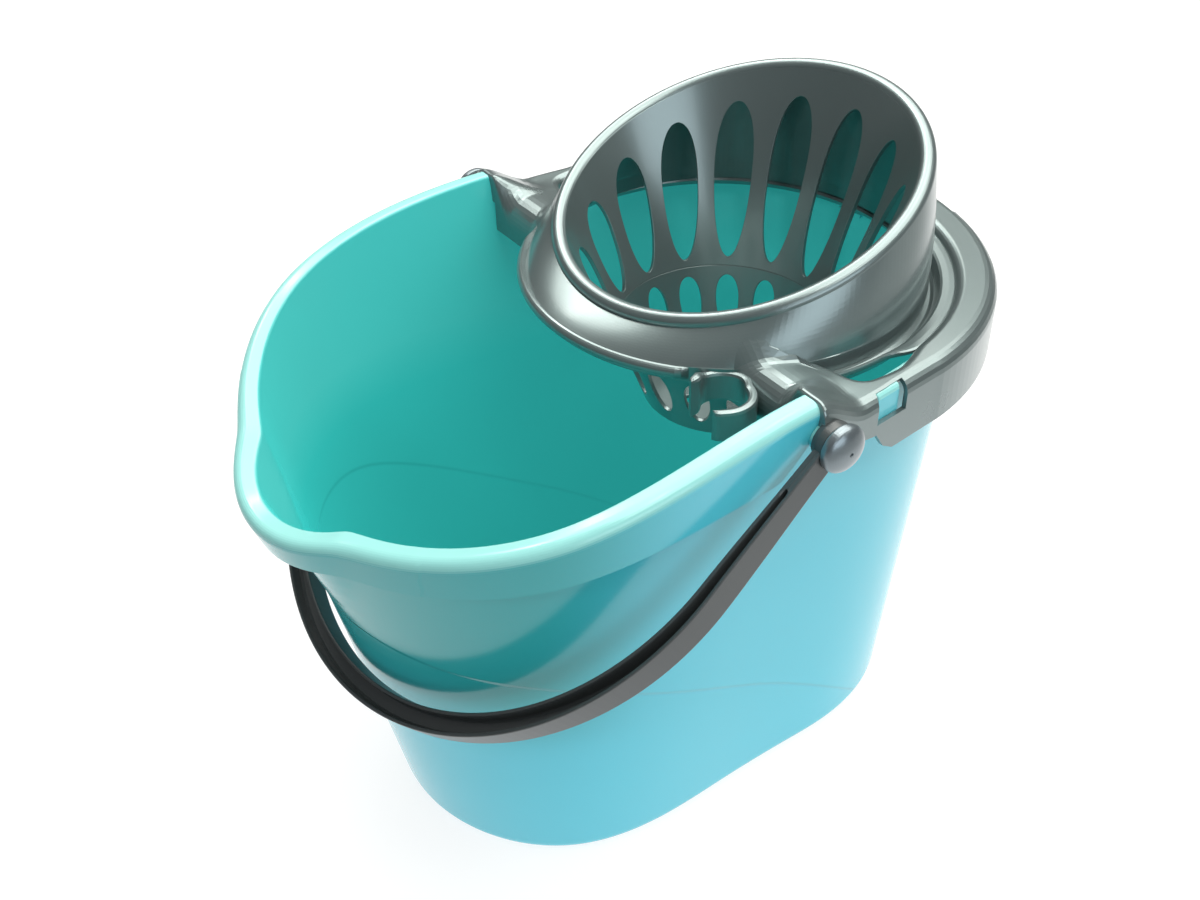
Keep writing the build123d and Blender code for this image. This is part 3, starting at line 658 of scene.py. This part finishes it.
def tubAt(u, z, out):  # wall moved square to its outline by out, the grown spout joined on
    s = spoutSpec
    out = np.asarray(out) + 0 * u
    along = ruled(u + 0.0012, z) - ruled(u - 0.0012, z)
    along = along / np.linalg.norm(along, axis=-1, keepdims=True)
    p = ruled(u, z) + np.stack([-along[..., 1], along[..., 0]], -1) * out[..., None]
    rise = (z - s["low"]) / (tubSpec["tall"] - s["low"])
    radius, c = s["r"] + s["grow"] * rise + out, s["y"] - s["lean"] * rise - s["middle"]
    x, y = p[..., 0], p[..., 1] - s["middle"]
    far = np.hypot(x, y)
    dx, dy = x / far, y / far
    inside = (dy * c) ** 2 - c * c + radius ** 2
    reach = np.where((inside > 0) & (dy < 0), dy * c + np.sqrt(np.maximum(inside, 0)), 0)
    blend = s["soft"] + s["softMore"] * np.clip(out, 0, 12)
    soft = np.where((reach > far - s["near"]) & (z > s["low"]), blend, 0.0)
    both = (far + reach + np.sqrt((far - reach) ** 2 + soft ** 2)) / 2
    return np.stack([dx * both, s["middle"] + dy * both, z + 0 * far], -1)


def rimLine(u):  # y and height of the rim's top on the wall, found by steps
    t = tubSpec
    z = np.full_like(u, 280.0)
    for _ in range(12):
        z = t["rimZ"] - t["rimDrop"] * (np.maximum(t["seam"] - tubAt(u, z, 0)[:, 1], 0) / t["rimReach"]) ** 2
    return tubAt(u, z, 0)[:, 1], z


def skirtEdge(y, top):  # lower edge of the rim's skirt; it climbs along the bail's leg to the pivot
    t = tubSpec
    plain = top - t["skirt"] - t["skirtMore"] * np.maximum(0, 1 - (t["seam"] - y) / t["rimReach"])
    leg = t["legZ"] + t["legSlope"] * y
    climb = (plain + leg + np.sqrt((plain - leg) ** 2 + t["legSoft"] ** 2)) / 2
    return np.minimum(np.where(y > t["legFrom"], climb, plain), top - t["rimRound"] - 0.5)


def tubColumns():  # places round the outline, closer together round the spout, with a pair at each seam
    u = np.linspace(0, 1, 481)[:-1]
    u = u + 0.07 * np.sin(2 * np.pi * u)
    past = rimLine(u)[0] - tubSpec["seam"]
    i = np.flatnonzero(past[:-1] * past[1:] < 0)
    seams = u[i] - (u[i + 1] - u[i]) * past[i] / (past[i + 1] - past[i])
    first, last = seams.min(), seams.max()
    keep = (np.abs(u - first) > 0.0015) & (np.abs(u - last) > 0.0015)
    u = np.sort(np.concatenate([u[keep], [first - 1e-6, first + 1e-6, last - 1e-6, last + 1e-6]]))
    return u, (u > first) & (u < last)


def makeTubSkin():
    t = tubSpec
    u, front = tubColumns()
    y, z = rimLine(u)
    top = np.where(front, z, t["rearZ"])
    edge, low, e = t["edge"], skirtEdge(y, top), t["lipRound"]
    rows = []

    def row(height, out):
        rows.append(tubAt(u, height + 0 * u, out + 0 * u))

    def rimRow(height, out):  # the rear has no rim: there these rows fall together on the edge
        row(np.where(front, height, top), np.where(front, out, 0.0))

    def spread(outline, height, shares):  # floor rows between the middle and an outline
        middle = np.stack([0 * u, 0 * u + t["centreY"], 0 * u + height], -1)
        return [middle + (outline - middle) * k for k in shares]

    rows += spread(tubAt(u, 0 * u, 0 * u - edge), 0.0, (0.02, 0.35, 0.7))
    for a in np.radians(np.linspace(0, 90, 8)):
        row(edge * (1 - math.cos(a)), -edge * (1 - math.sin(a)))
    under = np.where(front, top - t["wall"], top)
    for k in np.linspace(0, 1, 27)[1:]:
        row(edge + (under - edge) * k, 0.0)
    rimRow(under, t["rimIn"] - 3)  # hollow underside of the rim, then the skirt's inside
    rimRow(under - 1.2, t["rimIn"] - 0.9)
    rimRow(np.maximum(under - 4, low + 1.0), t["rimIn"])
    rimRow(low + 0.5, t["rimIn"])
    rimRow(low, t["rimIn"] + 0.5)
    rimRow(low, t["rimOut"] - 0.5)
    rimRow(low + 0.5, t["rimOut"])
    for k in (0.35, 0.7):
        rimRow(low + (top - t["rimRound"] - low) * k, t["rimOut"])
    for a in np.radians(np.linspace(0, 90, 10)):
        rimRow(top - t["rimRound"] * (1 - math.sin(a)), t["rimOut"] - t["rimRound"] * (1 - math.cos(a)))
    for a in np.radians(np.linspace(90, 180, 7)):
        row(top - e * (1 - math.sin(a)), -t["wall"] + e * (1 + math.cos(a)))
    for k in np.linspace(0, 1, 27)[1:]:
        row(top - e + (t["floor"] + t["inEdge"] - top + e) * k, -t["wall"])
    for a in np.radians(np.linspace(0, 90, 7))[1:]:
        row(t["floor"] + t["inEdge"] * (1 - math.sin(a)), -t["wall"] - t["inEdge"] * (1 - math.cos(a)))
    rows += spread(rows[-1], t["floor"], (0.7, 0.35, 0.02))
    co = np.stack(rows)
    return addPiece("tubSkin", co, [f[::-1] for f in cappedFaces(*co.shape[:2])], tubPlastic, 38)


def makeTongue(label, turn, px, py):  # the section carried along the ring, its ends a little smaller
    half, edge = tongueSpec["half"], tongueSpec["edge"]
    c, s = math.cos(math.radians(turn)), math.sin(math.radians(turn))
    w = np.array([-half, -half + edge, half - edge, half])[:, None]
    thin = np.array([edge, 0.0, 0.0, edge])[:, None]
    out, up = tongueSection.T
    out, up = out - thin * (out > -4), up - thin * (up > 283)
    co = np.stack([px + out * c - w * s, py + out * s + w * c, up + 0 * w], -1)
    return addPiece(label, co, cappedFaces(*co.shape[:2]), tubPlastic, 40)


def makeTub():
    pieces = [makeTubSkin()]
    x, r, edge = bossSpec["outX"], bossSpec["r"], bossSpec["edge"]
    prof = [[bossSpec["inX"], r], [x - edge, r], [x, r - edge], [x, bossSpec["bore"]]]
    for side, label in ((1, "bossRight"), (-1, "bossLeft")):
        pieces.append(turnedPiece(label, prof, side, tubPlastic, 40, 48))
    sideY, rearR, slant = tongueSpec["sideY"], tongueSpec["rearR"], ringSpec["slant"]
    pieces.append(makeTongue("tongueRight", slant, sideX(sideY), sideY))
    pieces.append(makeTongue("tongueLeft", 180 - slant, -sideX(sideY), sideY))
    for turn, label in ((78.0, "tongueRearRight"), (102.0, "tongueRearLeft")):
        c, s = math.cos(math.radians(turn)), math.sin(math.radians(turn))
        pieces.append(makeTongue(label, turn, rearR * c, ringSpec["y"] + rearR * s))
    for piece in pieces:
        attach(piece, "tub")
    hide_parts("tub")


# bail: a channel swept down one leg, round the arc and up the other, slim at the eyes and broad at the grip
bailSpec = dict(inX=146.6, wide=12.5, eyeWide=5.2, tall=13.5, taller=3.5, tallerAt=(0.0, 0.25), lower=4.5,
                lowerAt=(0.35, 0.9), wall=1.9, web=5.5, lip=0.7, leg=86.2, start=6.0, pocket=33.0, pocketEnd=4,
                eyeR=10.4, bore=5.05, hub=2.6, hubIn=8.0, edge=0.6, rest=39.0)


def bailAt(p, q, n):  # across, out along the legs, up from the bail's own plane
    c, s = math.cos(math.radians(bailSpec["rest"])), math.sin(math.radians(bailSpec["rest"]))
    return np.stack([p + 0 * q, -q * c - n * s, pivotZ - q * s + n * c], -1)


def makeBail():
    b = bailSpec
    # path of the inner face: leg, half turn, leg; rows close together where the pocket ends
    legQ = np.concatenate([np.linspace(b["start"], b["pocket"] - 5, 6),
                           b["pocket"] + np.array([-4, -3.4, -2.4, -1, 0.8, 3]),
                           np.linspace(b["pocket"] + 6, b["leg"], 9)])
    k = len(legQ)
    arc = np.radians(np.linspace(0, 180, 101))[1:-1]
    outP = np.concatenate([np.ones(k), np.cos(arc), -np.ones(k)])
    outQ = np.concatenate([np.zeros(k), np.sin(arc), np.zeros(k)])
    p = b["inX"] * outP
    q = np.concatenate([legQ, b["leg"] + b["inX"] * np.sin(arc), legQ[::-1]])
    run = np.concatenate([[0], np.cumsum(np.hypot(np.diff(p), np.diff(q)))])
    run = np.minimum(run, run[-1] - run)  # from the nearer eye
    share = run / (np.hypot(np.diff(p), np.diff(q)).sum() / 2)  # 0 at the eyes, 1 at the grip
    wide = (b["eyeWide"] + (b["wide"] - b["eyeWide"]) * np.sin(np.pi / 2 * share))[:, None]
    tall = b["tall"] + b["taller"] * smooth(share, *b["tallerAt"]) - b["lower"] * smooth(share, *b["lowerAt"])
    tall = tall[:, None]
    # section: share of the width (0 in, 1 out) and mm added, share of half the height and mm added
    e, t, w = b["lip"], b["wall"], b["web"]
    su, du, sv, dv = np.array([
        [0, 0, -1, e], [0, 0, 1, -e], [0, 0.3 * e, 1, -0.3 * e], [0, e, 1, 0], [0, t - 0.3 * e, 1, -0.2 * e],
        [0, t, 1, -e], [0, t + 0.2, -1, w + 1.4], [0, t + 1.2, -1, w], [1, -t - 1.2, -1, w], [1, -t - 0.2, -1, w + 1.4],
        [1, -t, 1, -e], [1, -t + 0.3 * e, 1, -0.2 * e], [1, -e, 1, 0], [1, -0.3 * e, 1, -0.3 * e], [1, 0, 1, -e],
        [1, 0, -1, e], [1, -0.3 * e, -1, 0.3 * e], [1, -e, -1, 0], [0, e, -1, 0], [0, 0.3 * e, -1, 0.3 * e]]).T
    u, v = su * wide + du, sv * tall / 2 + dv
    # the pocket runs out in a half round short of the eyes
    near = np.clip((run + b["start"] - b["pocket"] + b["pocketEnd"]) / b["pocketEnd"], 0, 1)
    gape = np.sqrt(np.maximum(1 - (1 - near) ** 2, 0))[:, None]
    inPocket, withLips = slice(5, 11), slice(4, 12)
    pocketU = wide / 2 + (u[:, inPocket] - wide / 2) * (0.25 + 0.75 * gape)
    pocketU = np.concatenate([pocketU[:, :1] - 0.4, pocketU, pocketU[:, -1:] + 0.4], 1)
    u[:, withLips] = np.where(gape < 1, pocketU, u[:, withLips])
    v[:, inPocket] = v[:, inPocket] * gape + (tall / 2 - hair) * (1 - gape)
    co = bailAt(p[:, None] + outP[:, None] * u, q[:, None] + outQ[:, None] * u, v)
    pieces = [addPiece("bailSkin", co, cappedFaces(*co.shape[:2]), bailPlastic, 42)]
    # round eyes on the pins, with a short hub inside
    x, r, outX, edge = b["inX"], b["eyeR"], b["inX"] + b["eyeWide"], b["edge"]
    prof = [[x, b["bore"]], [x, b["hubIn"]], [x - b["hub"], b["hubIn"]], [x - b["hub"], r - 1.0], [x + edge, r],
            [outX - edge, r], [outX, r - edge], [outX, b["bore"]]]
    for side, label in ((1, "bailEyeRight"), (-1, "bailEyeLeft")):
        pieces.append(turnedPiece(label, prof, side, bailPlastic, 42, 64, closed=True))
    for piece in pieces:
        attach(piece, "bail")
    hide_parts("bail_handle")


# pivot pins: a shank and a domed head with a small dimple
pinSpec = dict(headX=152.0, headR=12.0, rise=8.0, rimTall=2.4, shankX=134.8, shankR=5.0)


def makePin(label, node, side):
    x, r, tall, rim = pinSpec["headX"], pinSpec["headR"], pinSpec["rise"], pinSpec["rimTall"]
    shankX, shankR = pinSpec["shankX"], pinSpec["shankR"]
    dome = np.radians(np.linspace(0, 84, 13))  # quarter ellipse, r = R cos t
    prof = [[shankX, 0.0], [shankX, shankR - 0.3], [shankX + 0.3, shankR], [x, shankR]]
    prof += [[x, r - 1.2], [x + 0.4, r - 0.3], [x + 1.2, r]]
    prof += [[x + rim + (tall - rim) * math.sin(d), r * math.cos(d)] for d in dome]
    prof += [[x + tall - 0.1, 1.0], [x + tall - 0.9, 0.75], [x + tall - 1.2, 0.0]]
    ob = turnedPiece(label, prof, side, pinPlastic, 45, 64)
    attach(ob, "tub")
    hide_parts(node)


makeTub()
print("tub made")
makePin("pinRight", "pivot_pin_right", 1)
makePin("pinLeft", "pivot_pin_left", -1)
makeBail()
print("pins and bail made")
makeCollar()
for bandName, bandSpec in basket.items():
    makeBand(bandName, bandSpec)
makeRing()
makeLedge()
makeClip()
for name in ("collarSkin", "coneSkin", "bowlSkin", "bowlFloor", "ringSkin", "ledgeSkin", "clipSkin"):
    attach(bpy.data.objects[name], "wringer")
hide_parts("wringer")
print("wringer skins made")

# stage: a white sheet on a dim floor; each soft edge has a way out and a distance, in metres
floorLook = dict(reach=6.0, z=-0.0003, colour=(0.22, 0.22, 0.22), rough=0.9, glow=0.82, dim=0.2, soft=0.45,
                 edges=(((0.824, -0.567, 0), 0.20), ((0.809, 0.588, 0), 0.36), ((-0.285, -0.959, 0), 0.41)))


def makeFloor(look):
    r, z = look["reach"], look["z"]
    mesh = bpy.data.meshes.new("floor")
    mesh.from_pydata([(-r, -r, z), (r, -r, z), (r, r, z), (-r, r, z)], [], [(0, 1, 2, 3)])
    ob = bpy.data.objects.new("floor", mesh)
    scene.collection.objects.link(ob)
    mat = bpy.data.materials.new("palePaper")
    mat.use_nodes = True
    tree = mat.node_tree
    shader = tree.nodes["Principled BSDF"]
    shader.inputs["Base Color"].default_value = opaque(look["colour"])
    shader.inputs["Roughness"].default_value = look["rough"]
    shader.inputs["Emission Color"].default_value = (1, 1, 1, 1)
    coord = objectCoord(tree)
    share = look["glow"]
    for way, start in look["edges"]:  # dimmer past each edge
        along = vectorNode(tree, "DOT_PRODUCT", coord, way)
        fade = rangeNode(tree, along, (start, start + look["soft"]), to=(1.0, look["dim"]))
        share = mathNode(tree, "MULTIPLY", fade, share)
    tree.links.new(share, shader.inputs["Emission Strength"])
    mesh.materials.append(mat)


makeFloor(floorLook)

# shop light: a broad ceiling, two tubes, a small key without a reflection, a window at the side
lights = dict(
    ceiling=dict(at=(-0.3, 1.0, 2.25), aim=(-0.3, 1.01, 0), size=(4.4, 2.9), turn=0, power=156, tint=(1, 1, 0.94)),
    tubeMid=dict(at=(0.3, 0.3, 2.2), aim=(0, 0, 0.2), size=(2.4, 0.1), turn=-10, power=4, tint=(1, 1, 0.95)),
    tubeLow=dict(at=(-1.7, 0.35, 2.1), aim=(0, 0, 0.2), size=(1.6, 0.16), turn=0, power=8, tint=(1, 1, 0.95)),
    key=dict(at=(0.7, -1.7, 1.8), aim=(0, 0, 0.1), size=(0.3, 0.3), turn=0, power=9, tint=(0.92, 0.98, 1),
             glossy=False),
    side=dict(at=(2.2, -0.2, 0.8), aim=(0, 0, 0.2), size=(1.8, 1.2), turn=0, power=16, tint=(0.85, 0.94, 1)),
)
room = dict(low=(0.30, 0.30, 0.30), level=(0.12, 0.1212, 0.1236), levelAt=0.55, high=(0.24, 0.24, 0.24))


def addLight(name, lamp):
    data = bpy.data.lights.new(name, "AREA")
    data.shape = "RECTANGLE"
    data.size, data.size_y = lamp["size"]
    data.energy = lamp["power"]
    data.color = lamp["tint"]
    ob = bpy.data.objects.new(name, data)
    ob.visible_glossy = lamp.get("glossy", True)
    aim = (Vector(lamp["aim"]) - Vector(lamp["at"])).to_track_quat("-Z", "Y").to_matrix().to_4x4()
    ob.matrix_world = Matrix.Translation(lamp["at"]) @ aim @ Matrix.Rotation(math.radians(lamp["turn"]), 4, "Z")
    scene.collection.objects.link(ob)


def makeRoom(look):  # pale below, dark grey at the level, lighter overhead
    world = bpy.data.worlds.new("shop")
    world.use_nodes = True
    tree = world.node_tree
    coord = tree.nodes.new("ShaderNodeTexCoord").outputs["Generated"]
    ramp = tree.nodes.new("ShaderNodeValToRGB")
    tree.links.new(rangeNode(tree, splitNode(tree, coord)["Z"], (-1.0, 1.0), "LINEAR"), ramp.inputs["Fac"])
    ramp.color_ramp.elements[0].color = opaque(look["low"])
    ramp.color_ramp.elements[1].color = opaque(look["high"])
    ramp.color_ramp.elements.new(look["levelAt"]).color = opaque(look["level"])
    tree.links.new(ramp.outputs["Color"], tree.nodes["Background"].inputs["Color"])
    scene.world = world


for lightName, lightSpec in lights.items():
    addLight(lightName, lightSpec)
makeRoom(room)
print("stage and lights set")

# camera solved from the photograph, for a 1200 by 900 picture
cameraFit = dict(at=(0.49091, -0.36058, 0.65588), look=(-0.6510, 0.4481, -0.6128), roll=-1.29, focal=1397.78,
                 width=1200, sensor=36)


def addCamera(fit):
    ahead = Vector(fit["look"]).normalized()
    level = ahead.cross(Vector((0, 0, 1))).normalized()
    above = level.cross(ahead)
    c, s = math.cos(math.radians(fit["roll"])), math.sin(math.radians(fit["roll"]))
    right, up = level * c + above * s, above * c - level * s
    data = bpy.data.cameras.new("camera")
    data.sensor_fit = "HORIZONTAL"
    data.sensor_width = fit["sensor"]
    data.lens = fit["sensor"] * fit["focal"] / fit["width"]
    ob = bpy.data.objects.new("camera", data)
    ob.matrix_world = Matrix.Translation(fit["at"]) @ Matrix((right, up, -ahead)).transposed().to_4x4()
    scene.collection.objects.link(ob)
    scene.camera = ob


addCamera(cameraFit)
